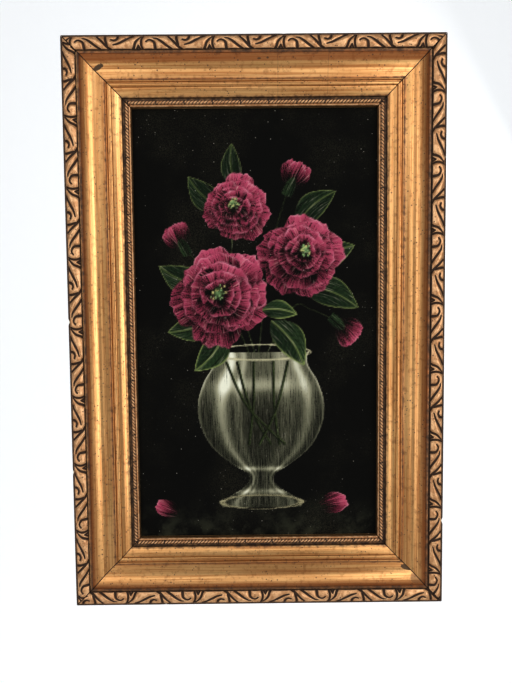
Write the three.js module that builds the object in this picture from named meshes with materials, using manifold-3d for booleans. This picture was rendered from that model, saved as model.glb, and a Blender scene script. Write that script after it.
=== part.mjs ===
// A framed oil painting on dark cloth: a gilt scoop frame with a scroll band along its outer edge and a
// rope bead along its sight edge, the stretched cloth behind it, and the hanger on the top rail's back.
// Millimetres, +Z up. The picture faces -Y, and the origin is on the hanger plate's flat back face.

import * as THREE from "three";
import { mergeVertices } from "three/addons/utils/BufferGeometryUtils.js";
import Module from "manifold-3d";

const wasm = await Module();
wasm.setup();

// Overall sizes
const frame_width = 400;
const frame_height = 606;
const rail_depth = 44;

// Gap between pieces that touch
const seat_gap = 0.3;

// The moulding's section, in order from its outer edge inwards. A fall is measured from the moulding's
// highest level where it is named front_fall, and from the step before it elsewhere.
const side = { set_back: 2.4, top_fall: 8 };
const nose = { width: 2.2, height: 3.6, round: 1.2 };
const band = { width: 12.2, outer_fall: 1.6, inner_fall: 2.6, bulge: 2.1 };
const groove = { width: 2.1, depth: 1.6 };
const fillet = { width: 2.0, front_fall: 2.0 };
const cove = { width: 13.2, lead: 0.2, top_front_fall: 3.0, front_fall: 11.0, sag: 2.0 };
const slope = { width: 6.6, fall: 0.4 };
const bead_lead = { width: 3.6, fall: 0.2 };
const bead = { width: 3.4, fall: 1.0, height: 1.0 };
const ovolo = { width: 3.9, fall: 0.9, height: 1.4 };
const lip = { width: 9.4, fall: 3.8, crest: 0.3, crest_fall: 0.08 };
const recess = { width: 2.7, depth: 2.9 };
const rope = { width: 4.2, height: 3.3 };
const sight = { width: 1.7, fall: 2.4, wall: 4.8 };
const rebate_width = 7;

// The scroll band's repeat, its cut, and where the first bud stands along each rail
const scroll_pitch = 73.5;
const scroll_cut = { depth: 1.3, half_width: 1.0 };
const first_bud = { top: 6.2, right: 54.8, bottom: 45.6, left: 4.9 };

// The stretched cloth and its bars
const canvas_clear = 1.5;
const cloth_thick = 0.8;
const bar = { width: 38, flat: 4, bevel: 1.5 };

// The brads that hold the bars in: how far they go into the wood, their distance from a corner, and how
// far they lie in from the rails' back
const brad = { radius: 0.6, length: 20, bite: 9, corner_distance: 130, cover: 1.1 };

// The sawtooth hanger, its teeth and its nails
const hanger = { bridge: 28, ramp: 3, tab: 9, height: 11, thick: 1.2, stand: 3, drop: 22 };
const tooth = { pitch: 3.2, depth: 2.4 };
const nail = { head_radius: 2.3, head_thick: 0.8, shank_radius: 0.7, length: 11, point: 2 };

// How finely round shapes are faceted, and how far a cutter stands over the face that it cuts
const BAND_STEPS = 2;
const COVE_STEPS = 4;
const ROUND_SIDES = 10;
const CUTTER_OVER = 1.2;

// Colour, roughness and metalness of each finish
const ANTIQUE_GILT = [0xa87840, 0.45, 0.55];
const RAW_WOOD = [0xb08a5a, 0.8, 0.0];
const PAINTED_CLOTH = [0x0d0c0c, 0.95, 0.0];
const BRASS_PLATE = [0xa08a55, 0.4, 0.9];
const STEEL = [0x8c8c90, 0.4, 0.9];

function piece(name, geometry, [color, roughness, metalness]) {
  const mesh = new THREE.Mesh(geometry, new THREE.MeshStandardMaterial({ color, roughness, metalness }));
  mesh.name = name;
  return mesh;
}

// A closed geometry as a solid that can be cut, and a cut solid as a geometry
function solid(geometry) {
  const bare = geometry.clone();
  bare.deleteAttribute("normal");
  bare.deleteAttribute("uv");
  const merged = mergeVertices(bare, 1e-4);
  return new wasm.Manifold(new wasm.Mesh({
    numProp: 3,
    vertProperties: merged.attributes.position.array,
    triVerts: merged.index.array,
  }));
}

function geometryOf(manifold) {
  const mesh = manifold.getMesh();
  const geometry = new THREE.BufferGeometry();
  geometry.setAttribute("position", new THREE.BufferAttribute(mesh.vertProperties, 3));
  geometry.setIndex(new THREE.BufferAttribute(mesh.triVerts, 1));
  return geometry;
}

function cutBy(geometry, cutters) {
  return geometryOf(cutters.reduce((left, cutter) => left.subtract(solid(cutter)), solid(geometry)));
}

function reshape(geometry, move) {
  const position = geometry.attributes.position;
  const point = new THREE.Vector3();
  for (let i = 0; i < position.count; i += 1) {
    point.fromBufferAttribute(position, i);
    move(point);
    position.setXYZ(i, point.x, point.y, point.z);
  }
  return geometry;
}

function extruded(points, depth, steps = 1) {
  const shape = new THREE.Shape(points.map(([x, y]) => new THREE.Vector2(x, y)));
  return new THREE.ExtrudeGeometry(shape, { depth, steps, bevelEnabled: false });
}

// The scroll band's height above the rail's back: a chord with a bulge on it
function bandHeight(inward) {
  const across = THREE.MathUtils.clamp((inward - nose.width) / band.width, 0, 1);
  const chord = rail_depth - THREE.MathUtils.lerp(band.outer_fall, band.inner_fall, across);
  return chord + 4 * band.bulge * across * (1 - across);
}

// The moulding's front, as [distance inwards from the outer edge, height above the back]
function mouldingFront() {
  const points = [];
  let inward = 0;
  let height = rail_depth - band.outer_fall;
  const at = (share, up) => points.push([inward + share, height + up]);
  const step = (width, fall) => {
    inward += width;
    height -= fall;
    at(0, 0);
  };
  points.push([side.set_back, rail_depth - side.top_fall]);
  at(0, -nose.height);
  at(0, -nose.round);
  at(nose.width * 0.35, -nose.round * 0.25);
  step(nose.width, 0);
  for (let i = 1; i < BAND_STEPS; i += 1) {
    const across = inward + (band.width * i) / BAND_STEPS;
    points.push([across, bandHeight(across)]);
  }
  step(band.width, band.inner_fall - band.outer_fall);
  at(groove.width * 0.3, -groove.depth);
  at(groove.width * 0.7, -groove.depth);
  step(groove.width, fillet.front_fall - band.inner_fall);
  step(fillet.width, 0);
  step(cove.lead, cove.top_front_fall - fillet.front_fall);
  const run = cove.width - cove.lead;
  const drop = cove.front_fall - cove.top_front_fall;
  for (let i = 1; i < COVE_STEPS; i += 1) {
    const share = 1 - Math.cos(((Math.PI / 2) * i) / COVE_STEPS);
    const sunk = cove.sag * Math.sin(Math.PI * share);
    at(run * share, -drop * share - sunk);
  }
  step(run, drop);
  step(slope.width, slope.fall);
  step(bead_lead.width, bead_lead.fall);
  at(bead.width * 0.3, bead.height);
  at(bead.width * 0.6, bead.height * 0.6);
  at(bead.width * 0.75, -bead.fall);
  step(bead.width, bead.fall);
  at(ovolo.width * 0.2, ovolo.height);
  at(ovolo.width * 0.65, ovolo.height * 0.8);
  step(ovolo.width, ovolo.fall);
  at(lip.width * lip.crest, -lip.fall * lip.crest_fall);
  step(lip.width, lip.fall);
  at(recess.width * 0.2, -recess.depth);
  step(recess.width, recess.depth);
  at(rope.width * 0.05, rope.height * 0.45);
  at(rope.width * 0.27, rope.height * 0.9);
  at(rope.width * 0.5, rope.height);
  at(rope.width * 0.73, rope.height * 0.9);
  at(rope.width * 0.95, rope.height * 0.45);
  step(rope.width, 0);
  at(sight.width * 0.5, -sight.fall * 0.15);
  step(sight.width, sight.fall);
  return points;
}

const moulding_front = mouldingFront();
const [rail_face, sight_height] = moulding_front.at(-1);
const rebate_wall = rail_face - rebate_width;
const rebate_ceiling = sight_height - sight.wall;

const moulding_section = [
  [side.set_back, 0],
  ...moulding_front,
  [rail_face, rebate_ceiling],
  [rebate_wall, rebate_ceiling],
  [rebate_wall, 0],
];

// A length with mitred ends: x along it, -y inwards from its outer edge, z up from its back
function mitredLength(section, length) {
  const end_gap = (seat_gap / 2) * Math.SQRT2;
  return reshape(extruded(section, 1), (p) => {
    const [inward, height] = [p.x, p.y];
    const end = inward + end_gap;
    p.set(p.z < 0.5 ? length - end : end, -inward, height);
  });
}

// The grooves between the scroll band's leaves. A point is [share of the repeat along from the bud,
// share of the band inwards]; widths are shares of the full cut, from the stroke's start to its end.
const strokes = {
  bud_side: { points: [[0.075, 0], [0.053, 0.48], [0.071, 1.08]], widths: [0.7, 1.1, 1.0] },
  curl: { points: [[0.121, 0.45], [0.16, 0.28], [0.215, 0.38], [0.246, 1.08]], widths: [0.5, 1.1, 1.1] },
  long_leaf: { points: [[0.227, 0.16], [0.339, 0.45], [0.484, 1.08]], widths: [0.2, 1.2, 0.8] },
  broad_leaf: { points: [[0.426, 0], [0.525, 0.57], [0.63, 1.08]], widths: [0.7, 1.1, 0.9] },
  wedge: { points: [[0.544, 0], [0.569, 0.72]], widths: [1.1, 0.9] },
  hook: { points: [[0.724, 0], [0.69, 0.3], [0.63, 0.29]], widths: [0.9, 1.0, 0.7] },
  rising_leaf: { points: [[0.657, 0.7], [0.816, 0.36], [0.948, 0]], widths: [0.2, 1.2, 0.8] },
  bud_stem: { points: [[1.054, 0.03], [0.974, 0.48], [0.928, 1.08]], widths: [0.4, 1.1, 1.1] },
};

function strokeCutter({ points, widths }, bud) {
  const place = ([along, across]) =>
    new THREE.Vector2(bud + along * scroll_pitch, nose.width + across * band.width);
  const line = new THREE.SplineCurve(points.map(place));
  const width = new THREE.SplineCurve(widths.map((w, i) => new THREE.Vector2(i, w)));
  const half_over_depth = scroll_cut.half_width / scroll_cut.depth;
  const vee = [[-1, 1], [0, 0], [1, 1]];
  return reshape(extruded(vee, 1, points.length - 1), (p) => {
    const on_line = line.getPointAt(p.z);
    const heading = line.getTangentAt(p.z);
    const depth = scroll_cut.depth * width.getPoint(p.z).y;
    const up = (depth + CUTTER_OVER) * p.y;
    const out = half_over_depth * up * p.x;
    p.set(on_line.x + heading.y * out, -on_line.y + heading.x * out, bandHeight(on_line.y) - depth + up);
  });
}

function scrollCutters(bud_at, length) {
  const cutters = [];
  for (let bud = bud_at - scroll_pitch; bud < length; bud += scroll_pitch) {
    Object.values(strokes).forEach((stroke) => cutters.push(strokeCutter(stroke, bud)));
  }
  return cutters;
}

// The cloth and its bars, from the back of the rails up: a turned-over edge lies between bar and brad
const turned_edge = cloth_thick + 2 * seat_gap;
const canvas_width = frame_width - 2 * (rebate_wall + canvas_clear);
const canvas_height = frame_height - 2 * (rebate_wall + canvas_clear);
const canvas_front = rebate_ceiling - seat_gap;
const bar_front = canvas_front - cloth_thick - seat_gap;
const bar_inset = cloth_thick + seat_gap;
const brad_level = brad.cover + brad.radius;
const bar_back = brad_level + brad.radius + turned_edge;
const bar_thick = bar_front - bar_back;

const bar_section = [
  [0, 0],
  [0, bar_thick],
  [bar.flat, bar_thick],
  [bar.width, bar_thick - bar.bevel],
  [bar.width, 0],
];

// A round hole's cutter or a brad, lying along the inward direction from one distance to another
function inwardRod(radius, from, to, along, height) {
  const rod = new THREE.CylinderGeometry(radius, radius, to - from, ROUND_SIDES);
  return rod.translate(along, -(from + to) / 2, height);
}

// A long rail has a brad near each end, and a short one has a single brad at its middle
function bradPlaces(length) {
  const between = length - 2 * brad.corner_distance;
  const near_ends = [brad.corner_distance, length - brad.corner_distance];
  return between > 2 * brad.corner_distance ? near_ends : [length / 2];
}

// The nails' holes in the top rail's back, to the depth that the nails reach
const tab_back = -(hanger.stand - seat_gap - hanger.thick);
const nail_reach = hanger.bridge / 2 + hanger.ramp + hanger.tab / 2;
const nail_tip = tab_back + seat_gap - nail.length;

function nailHole(along) {
  const depth = -nail_tip - hanger.stand + seat_gap;
  const radius = nail.shank_radius + seat_gap;
  const hole = new THREE.CylinderGeometry(radius, radius, 2 * depth, ROUND_SIDES);
  return hole.rotateX(Math.PI / 2).translate(along, -hanger.drop, 0);
}

function railGeometry(name, length) {
  const cutters = scrollCutters(first_bud[name], length);
  bradPlaces(length).forEach((along) => {
    const from = rebate_wall - brad.bite - seat_gap;
    cutters.push(inwardRod(brad.radius + seat_gap, from, rail_face, along, brad_level));
  });
  if (name === "top") {
    cutters.push(nailHole(length / 2 - nail_reach), nailHole(length / 2 + nail_reach));
  }
  return cutBy(mitredLength(moulding_section, length), cutters);
}

// One side of a mitred rectangle in the frame's own plane: x right, y up, z towards the viewer
function onSide(index, width, height) {
  const group = new THREE.Group();
  const corner = [[-1, 1], [1, 1], [1, -1], [-1, -1]][index];
  group.position.set((corner[0] * width) / 2, (corner[1] * height) / 2, 0);
  group.rotation.z = (-index * Math.PI) / 2;
  return group;
}

function hangerPlate() {
  const half = hanger.bridge / 2;
  const foot = half + hanger.ramp;
  const end = foot + hanger.tab;
  const strip = [
    [-end, tab_back - hanger.thick], [-foot, tab_back - hanger.thick], [-half, -hanger.thick],
    [half, -hanger.thick], [foot, tab_back - hanger.thick], [end, tab_back - hanger.thick],
    [end, tab_back], [foot, tab_back], [half, 0], [-half, 0], [-foot, tab_back], [-end, tab_back],
  ];
  const plate = extruded(strip, hanger.height).translate(0, 0, -hanger.height / 2);
  const cutters = [-nail_reach, nail_reach].map((x) => {
    const radius = nail.shank_radius + seat_gap;
    return new THREE.CylinderGeometry(radius, radius, 3 * hanger.stand, ROUND_SIDES).translate(x, 0, 0);
  });
  const teeth = Math.floor(hanger.bridge / tooth.pitch);
  const notch = [[-tooth.pitch / 2, -tooth.depth], [tooth.pitch / 2, -tooth.depth], [0, tooth.depth]];
  for (let i = 0; i < teeth; i += 1) {
    const x = (i - (teeth - 1) / 2) * tooth.pitch;
    const cutter = extruded(notch, 3 * hanger.stand).translate(0, 0, -1.5 * hanger.stand);
    cutters.push(cutter.rotateX(Math.PI / 2).translate(x, 0, -hanger.height / 2));
  }
  return cutBy(plate, cutters);
}

function nailGeometry() {
  const profile = [
    [0, -nail.length],
    [nail.shank_radius, nail.point - nail.length],
    [nail.shank_radius, 0],
    [nail.head_radius, 0],
    [nail.head_radius, nail.head_thick * 0.5],
    [nail.head_radius * 0.6, nail.head_thick],
    [0, nail.head_thick],
  ];
  return new THREE.LatheGeometry(profile.map(([r, y]) => new THREE.Vector2(r, y)), ROUND_SIDES);
}

// The frame, the bars and the cloth are laid out in the frame's plane, which then stands up
const lying = new THREE.Group();
lying.rotation.x = Math.PI / 2;
lying.position.set(0, -hanger.stand, hanger.drop - frame_height / 2);

["top", "right", "bottom", "left"].forEach((name, index) => {
  const length = index % 2 ? frame_height : frame_width;
  const rail_side = onSide(index, frame_width, frame_height);
  rail_side.add(piece(`rail_${name}`, railGeometry(name, length), ANTIQUE_GILT));
  bradPlaces(length).forEach((along, i, all) => {
    const from = rebate_wall - brad.bite;
    const geometry = inwardRod(brad.radius, from, from + brad.length, along, brad_level);
    rail_side.add(piece(`brad_${name}${all.length > 1 ? `_${i + 1}` : ""}`, geometry, STEEL));
  });
  lying.add(rail_side);
  const bars_width = canvas_width - 2 * bar_inset;
  const bars_height = canvas_height - 2 * bar_inset;
  const bar_side = onSide(index, bars_width, bars_height);
  const bar_length = index % 2 ? bars_height : bars_width;
  bar_side.position.z = bar_back;
  bar_side.add(piece(`stretcher_${name}`, mitredLength(bar_section, bar_length), RAW_WOOD));
  lying.add(bar_side);
});

const sheet = new THREE.BoxGeometry(canvas_width, canvas_height, cloth_thick);
const canvas = piece("painted_canvas", sheet, PAINTED_CLOTH);
canvas.position.z = canvas_front - cloth_thick / 2;
lying.add(canvas);

const painting = new THREE.Group();
painting.add(lying, piece("hanger_plate", hangerPlate(), BRASS_PLATE));
[["left", -nail_reach], ["right", nail_reach]].forEach(([name, x]) => {
  const hanger_nail = piece(`hanger_nail_${name}`, nailGeometry(), STEEL);
  hanger_nail.position.set(x, tab_back + seat_gap, 0);
  painting.add(hanger_nail);
});

export default painting;
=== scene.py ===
"""A framed oil painting on dark cloth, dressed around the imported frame: the gilt moulding with its
scroll band and rope bead, the painted cloth, the bare wooden bars and the hanger."""

from math import cos, hypot, pi, radians, sin, sqrt
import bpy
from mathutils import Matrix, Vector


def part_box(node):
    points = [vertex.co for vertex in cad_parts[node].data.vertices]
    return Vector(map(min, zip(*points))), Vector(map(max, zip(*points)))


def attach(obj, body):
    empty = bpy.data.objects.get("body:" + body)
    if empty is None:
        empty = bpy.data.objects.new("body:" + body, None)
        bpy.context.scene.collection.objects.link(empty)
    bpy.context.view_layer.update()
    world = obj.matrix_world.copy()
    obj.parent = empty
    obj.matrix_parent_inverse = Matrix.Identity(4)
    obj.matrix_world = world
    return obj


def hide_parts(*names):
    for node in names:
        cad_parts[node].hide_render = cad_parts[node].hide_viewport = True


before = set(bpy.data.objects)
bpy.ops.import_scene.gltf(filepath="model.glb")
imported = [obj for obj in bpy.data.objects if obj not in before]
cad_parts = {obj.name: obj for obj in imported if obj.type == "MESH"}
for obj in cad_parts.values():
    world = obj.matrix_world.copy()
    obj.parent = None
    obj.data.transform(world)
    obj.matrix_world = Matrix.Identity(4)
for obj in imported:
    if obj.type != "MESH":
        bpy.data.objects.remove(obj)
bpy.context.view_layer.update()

from types import SimpleNamespace as Sizes

import bmesh
import bpy
import numpy as np
from mathutils import Matrix, Vector

MM = 0.001
STAND_UP = Matrix.Rotation(pi / 2, 4, "X")


def node_box(name):
    """A node's lowest and highest corners, in millimetres."""
    return [np.array(corner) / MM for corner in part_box(name)]


# Sizes read from the frame, in millimetres
frame_low = np.minimum(node_box("rail_left")[0], node_box("rail_bottom")[0])
frame_high = np.maximum(node_box("rail_right")[1], node_box("rail_top")[1])
frame_width, _, frame_height = frame_high - frame_low
middle_x, _, middle_z = (frame_low + frame_high) / 2
back_y = frame_high[1]

# The moulding's section, in millimetres, in order from its outer edge inwards
rail_depth = 44.0
mitre_gap = 0.22
side = Sizes(set_back=2.4, top_fall=8.0)
nose = Sizes(width=2.2, height=3.6, round=1.2)
band = Sizes(width=12.2, outer_fall=1.6, inner_fall=2.6, bulge=2.1)
groove = Sizes(width=2.1, depth=1.6)
fillet = Sizes(width=2.0, front_fall=2.0, round=0.3, round_drop=0.25)
cove = Sizes(width=13.2, lead=0.2, top_front_fall=3.0, front_fall=11.0)
cove_curve = [(0.0, 0.0), (0.1, 0.16), (0.33, 0.47), (0.56, 0.72), (0.79, 0.915), (1.0, 1.0)]
slope = Sizes(width=6.6, fall=0.4)
bead_lead = Sizes(width=3.6, fall=0.2)
bead = Sizes(width=3.4, fall=1.0, height=1.0)
ovolo = Sizes(width=3.9, fall=0.9, height=1.4)
lip = Sizes(width=9.4, fall=3.8, curve=1.95)
recess = Sizes(width=2.7, depth=2.9)
rope = Sizes(width=4.2, height=3.3, pitch=3.7, flute=0.85, lean=0.9, notch_pitch=30.0)
sight = Sizes(width=1.7, fall=2.4, wall=4.8)
rebate_width = 7.0

# The scroll band's repeat, how deep it is cut, how far its leaves swell, and where the first bud stands
# along each rail
scroll_pitch = 73.5
scroll_depth = 1.45
pillow_rise = 0.6
first_bud = dict(top=6.2, right=54.8, bottom=45.6, left=4.9)

SIDES = ["top", "right", "bottom", "left"]


# Materials
class Value:
    """A shader value that takes part in Python arithmetic."""

    def __init__(self, finish, socket):
        self.finish = finish
        self.socket = socket

    def _math(self, operation, *others):
        return self.finish.make("Math", {"operation": operation}, [self, *others])

    def __add__(self, other):
        return self._math("ADD", other)

    def __sub__(self, other):
        return self._math("SUBTRACT", other)

    def __mul__(self, other):
        return self._math("MULTIPLY", other)

    def __rsub__(self, other):
        return self.finish.make("Math", {"operation": "SUBTRACT"}, [other, self])

    __radd__ = __add__
    __rmul__ = __mul__

    def absolute(self):
        return self._math("ABSOLUTE")

    def at_most(self, other):
        return self._math("MINIMUM", other)

    def at_least(self, other):
        return self._math("MAXIMUM", other)

    def near(self, centre, width):
        """1 at the centre, falling to 0 at the width on both sides."""
        return (self - centre).absolute().ramp(width, 0)

    def ramp(self, low, high):
        """0 at low and 1 at high, smooth between them, also where low is the larger."""
        settings = {"interpolation_type": "SMOOTHSTEP"}
        first, last, start, end = (low, high, 0, 1) if low < high else (high, low, 1, 0)
        return self.finish.make("MapRange", settings, [self, first, last, start, end])


class Finish:
    """One procedural material."""

    def __init__(self, name):
        self.material = bpy.data.materials.new(name)
        self.material.use_nodes = True
        self.tree = self.material.node_tree
        self.tree.nodes.clear()

    def make(self, kind, settings=None, sockets=(), output=0):
        """Adds a shader node, joins its sockets and gives one of its outputs."""
        node = self.tree.nodes.new("ShaderNode" + kind)
        for key, setting in (settings or {}).items():
            setattr(node, key, setting)
        pairs = sockets.items() if isinstance(sockets, dict) else enumerate(sockets)
        for key, given in pairs:
            socket = node.inputs[key]
            if isinstance(given, Value):
                self.tree.links.new(given.socket, socket)
            else:
                socket.default_value = given
        return Value(self, node.outputs[output])

    def attribute(self, name, output="Fac"):
        return self.make("Attribute", {"attribute_name": name}, output=output)

    def place(self):
        return self.make("TexCoord", output="Object")

    def split(self, vector, axis):
        return self.make("SeparateXYZ", sockets=[vector], output=axis)

    def noise(self, vector, scale, detail, rough=0.55):
        sockets = {"Vector": vector, "Scale": scale, "Detail": detail, "Roughness": rough}
        return self.make("TexNoise", sockets=sockets)

    def streaks(self, vector, scale, detail=4.0, rough=0.6):
        """Noise drawn out along an axis by a scale for each."""
        drawn_out = self.make("Mapping", sockets={"Vector": vector, "Scale": scale})
        return self.noise(drawn_out, 1.0, detail, rough)

    def specks(self, vector, scale, size):
        """1 in small round spots, one near each point of a loose lattice."""
        away = self.make("TexVoronoi", sockets={"Vector": vector, "Scale": scale})
        return away.ramp(size, size * 0.4)

    def mix(self, share, first, second):
        settings = {"data_type": "RGBA", "clamp_factor": True}
        return self.make("Mix", settings, {0: share, 6: first, 7: second}, output=2)

    def bump(self, height, distance, strength):
        return self.make("Bump", sockets={"Height": height, "Distance": distance, "Strength": strength})

    def wave(self, vector, scale, direction):
        """Soft bands across a direction, as in a weave."""
        settings = {"bands_direction": direction}
        sockets = {"Vector": vector, "Scale": scale}
        return self.make("TexWave", settings, sockets, output=1)

    def shade(self, **sockets):
        """Finishes the material as one shader with the given sockets."""
        names = {key.replace("_", " "): given for key, given in sockets.items()}
        shader = self.make("BsdfPrincipled", sockets=names)
        out = self.tree.nodes.new("ShaderNodeOutputMaterial")
        self.tree.links.new(shader.socket, out.inputs["Surface"])
        return self.material


def paint(*levels):
    """A colour given as it looks on screen, from 0 to 255, as the shader's linear values."""
    shares = [level / 255 for level in levels]
    return (*(s / 12.92 if s <= 0.04045 else ((s + 0.055) / 1.055) ** 2.4 for s in shares), 1.0)


# Meshes
def linked(name, data):
    """A new object that stands in the scene."""
    piece = bpy.data.objects.new(name, data)
    bpy.context.scene.collection.objects.link(piece)
    return piece


def finished(bm, name, material, node_names):
    """Makes a piece of a bmesh that is in metres and in its place, riding on the whole object."""
    mesh = bpy.data.meshes.new(name)
    bm.to_mesh(mesh)
    bm.free()
    piece = linked(name, mesh)
    mesh.materials.append(material)
    mesh.shade_smooth()
    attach(piece, "root")
    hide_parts(*node_names)
    return piece


def points_of(mesh):
    values = np.empty(len(mesh.vertices) * 3)
    mesh.vertices.foreach_get("co", values)
    return values.reshape(-1, 3)


def give(mesh, **attributes):
    """Gives the points of a mesh numbers, vectors or colours that its finish can read."""
    kinds = {1: ("FLOAT", "value"), 3: ("FLOAT_VECTOR", "vector"), 4: ("FLOAT_COLOR", "color")}
    for name, values in attributes.items():
        values = np.ascontiguousarray(values, dtype=np.float32)
        kind, field = kinds[1 if values.ndim == 1 else values.shape[1]]
        mesh.attributes.new(name, kind, "POINT").data.foreach_set(field, values.ravel())


def smooth(values, low, high):
    """0 up to low and 1 from high, smooth between them."""
    share = np.clip((values - low) / (high - low), 0, 1)
    return share * share * (3 - 2 * share)


def soft_line(values, centre, half_width):
    """1 at the centre, fading out softly to both sides."""
    return np.exp(-((values - centre) / half_width) ** 2)


def spline(points, count):
    """Points along a smooth curve through the given ones, spaced evenly in its own measure."""
    given = np.array([points[0], *points, points[-1]], dtype=float)
    at = np.linspace(0, len(points) - 1, count)
    leg = np.minimum(at.astype(int), len(points) - 2)
    t = (at - leg)[:, None]
    p0, p1, p2, p3 = (given[leg + i] for i in range(4))
    return 0.5 * (2 * p1 + (p2 - p0) * t + (2 * p0 - 5 * p1 + 4 * p2 - p3) * t**2
                  + (3 * p1 - p0 - 3 * p2 + p3) * t**3)


# The moulding's section, and how many strips of its mesh go across the scroll band and the rope bead
BAND_COLUMNS = 30
ROPE_COLUMNS = 13


def band_height(inward):
    """The scroll band's height above the rail's back: a chord with a bulge on it."""
    across = np.clip((inward - nose.width) / band.width, 0, 1)
    chord = rail_depth - (band.outer_fall * (1 - across) + band.inner_fall * across)
    return chord + 4 * band.bulge * across * (1 - across)


class Outline:
    """A line across the moulding, from (distance inwards, height above the back) points."""

    def __init__(self, inward, height):
        self.points = [(inward, height)]

    def through(self, width, rise, shares):
        """Goes on through shares of a width and of a rise."""
        inward, height = self.points[-1]
        self.points += [(inward + width * float(x), height + rise * float(y)) for x, y in shares]

    def to(self, width, rise, count, bow=0.0):
        """A straight stretch, or one bowed outwards at its middle, in count steps."""
        inward, height = self.points[-1]
        for i in range(1, count + 1):
            up = rise * i / count + bow * sin(pi * i / count)
            self.points.append((inward + width * i / count, height + up))

    def quarter(self, width, rise, count, steep_first):
        """A quarter round that starts steep or flat."""
        turns = [pi / 2 * i / count for i in range(1, count + 1)]
        round_over = [(1 - cos(turn), sin(turn)) for turn in turns]
        self.through(width, rise, round_over if steep_first else [(y, x) for x, y in round_over])


def moulding_outline():
    """The closed section, and the stretches of it that carry fine relief."""
    line = Outline(side.set_back, 0)
    to, quarter = line.to, line.quarter
    to(0, rail_depth - side.top_fall, 6)
    top = rail_depth - band.outer_fall
    quarter(-side.set_back, top - nose.height - line.points[-1][1], 4, False)
    to(0, nose.height - nose.round, 2)
    quarter(nose.width * 0.6, nose.round * 0.85, 5, True)
    to(nose.width * 0.4, nose.round * 0.15, 1)
    band_from = len(line.points) - 1
    places = [nose.width + band.width * i / BAND_COLUMNS for i in range(1, BAND_COLUMNS + 1)]
    line.points += [(inward, float(band_height(inward))) for inward in places]
    band_to = len(line.points) - 1
    to(groove.width * 0.3, -groove.depth, 3, -0.1)
    to(groove.width * 0.35, 0, 2, -0.1)
    rise = rail_depth - fillet.front_fall - line.points[-1][1]
    to(groove.width * 0.2, rise - 0.15, 2)
    quarter(groove.width * 0.15, 0.15, 2, True)
    to(fillet.width - fillet.round, 0, 3, 0.05)
    quarter(fillet.round, -fillet.round_drop, 2, False)
    start = rail_depth - cove.top_front_fall
    to(cove.lead, start - line.points[-1][1], 2)
    run = cove.width - cove.lead
    line.through(run, cove.top_front_fall - cove.front_fall, spline(cove_curve, 17)[1:])
    to(slope.width, -slope.fall, 6, 0.1)
    to(bead_lead.width, -bead_lead.fall, 3, -0.15)
    to(bead.width * 0.66, -0.2, 7, bead.height + 0.2)
    to(bead.width * 0.09, 0.2 - bead.fall, 2)
    to(bead.width * 0.25, 0, 2, -0.1)
    quarter(ovolo.width * 0.3, ovolo.height, 4, True)
    to(ovolo.width * 0.35, -0.15, 2, 0.1)
    quarter(ovolo.width * 0.35, -ovolo.height - ovolo.fall + 0.15, 5, False)
    line.through(lip.width * 0.95, 0.4 - lip.fall, [(i / 9, (i / 9) ** lip.curve) for i in range(1, 10)])
    quarter(lip.width * 0.05, -0.4, 3, False)
    to(recess.width * 0.2, -recess.depth, 3)
    to(recess.width * 0.8, 0, 3, -0.15)
    rope_from = len(line.points) - 1
    turns = [pi * i / ROPE_COLUMNS for i in range(1, ROPE_COLUMNS)]
    bead_round = [((1 - cos(turn)) / 2, sin(turn) ** 0.75) for turn in turns]
    line.through(rope.width, rope.height, [*bead_round, (1, 0)])
    rope_to = len(line.points) - 1
    to(sight.width * 0.25, 0, 2, -0.1)
    quarter(sight.width * 0.75, -sight.fall, 6, False)
    sight_edge = line.points[-1][0]
    to(0, -sight.wall, 3)
    to(-rebate_width, 0, 3)
    to(0, -line.points[-1][1], 4)
    to(side.set_back - line.points[-1][0], 0, 12)
    line.points.pop()
    return line.points, (band_from, band_to), (rope_from, rope_to), sight_edge


outline, band_columns, rope_columns, sight_edge = moulding_outline()
rebate_wall = sight_edge - rebate_width
rope_start = outline[rope_columns[0]][0]

# The scroll band's cuts. A point is (share of the repeat along from the bud, share of the band inwards),
# and widths are shares of the full cut, from the stroke's start to its end.
strokes = [
    ([(0.08, -0.02), (0.056, 0.3), (0.052, 0.7), (0.071, 1.02)], (0.7, 1.0, 1.1, 1.0)),
    ([(0.121, 0.45), (0.154, 0.31), (0.193, 0.33), (0.233, 0.51), (0.244, 0.82), (0.246, 1.02)],
     (0.6, 0.7, 0.9, 1.2, 1.5, 1.4)),
    ([(0.227, 0.16), (0.273, 0.2), (0.339, 0.45), (0.405, 0.74), (0.484, 1.02)],
     (0.3, 0.8, 1.2, 1.1, 0.8)),
    ([(0.426, -0.02), (0.472, 0.25), (0.525, 0.57), (0.577, 0.86), (0.63, 1.02)],
     (0.7, 1.0, 1.2, 1.1, 0.8)),
    ([(0.544, -0.02), (0.551, 0.33), (0.572, 0.72)], (1.2, 1.3, 0.9)),
    ([(0.724, -0.02), (0.712, 0.2), (0.671, 0.33), (0.63, 0.27)], (1.2, 1.3, 1.0, 0.8)),
    ([(0.657, 0.7), (0.736, 0.57), (0.816, 0.33), (0.895, 0.08), (0.948, -0.02)],
     (0.3, 0.9, 1.2, 0.9, 0.6)),
    ([(1.054, 0.02), (1.001, 0.29), (0.969, 0.53), (0.949, 0.85), (0.928, 1.02)],
     (0.4, 0.9, 1.1, 1.2, 1.0)),
    ([(1.012, 0.74), (1.0, 0.88), (0.985, 1.02)], (0.5, 0.8, 0.9)),
    ([(1.012, 0.74), (1.024, 0.88), (1.037, 1.02)], (0.5, 0.8, 0.9)),
]

# The scroll's map: its step, its margin past the band and the farthest that a cut counts as being, all in
# millimetres, and how many points a stroke is drawn through
TILE_STEP = 0.15
TILE_MARGIN = 1.0
TILE_FAR = 9.0
STROKE_SAMPLES = 36


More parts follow.
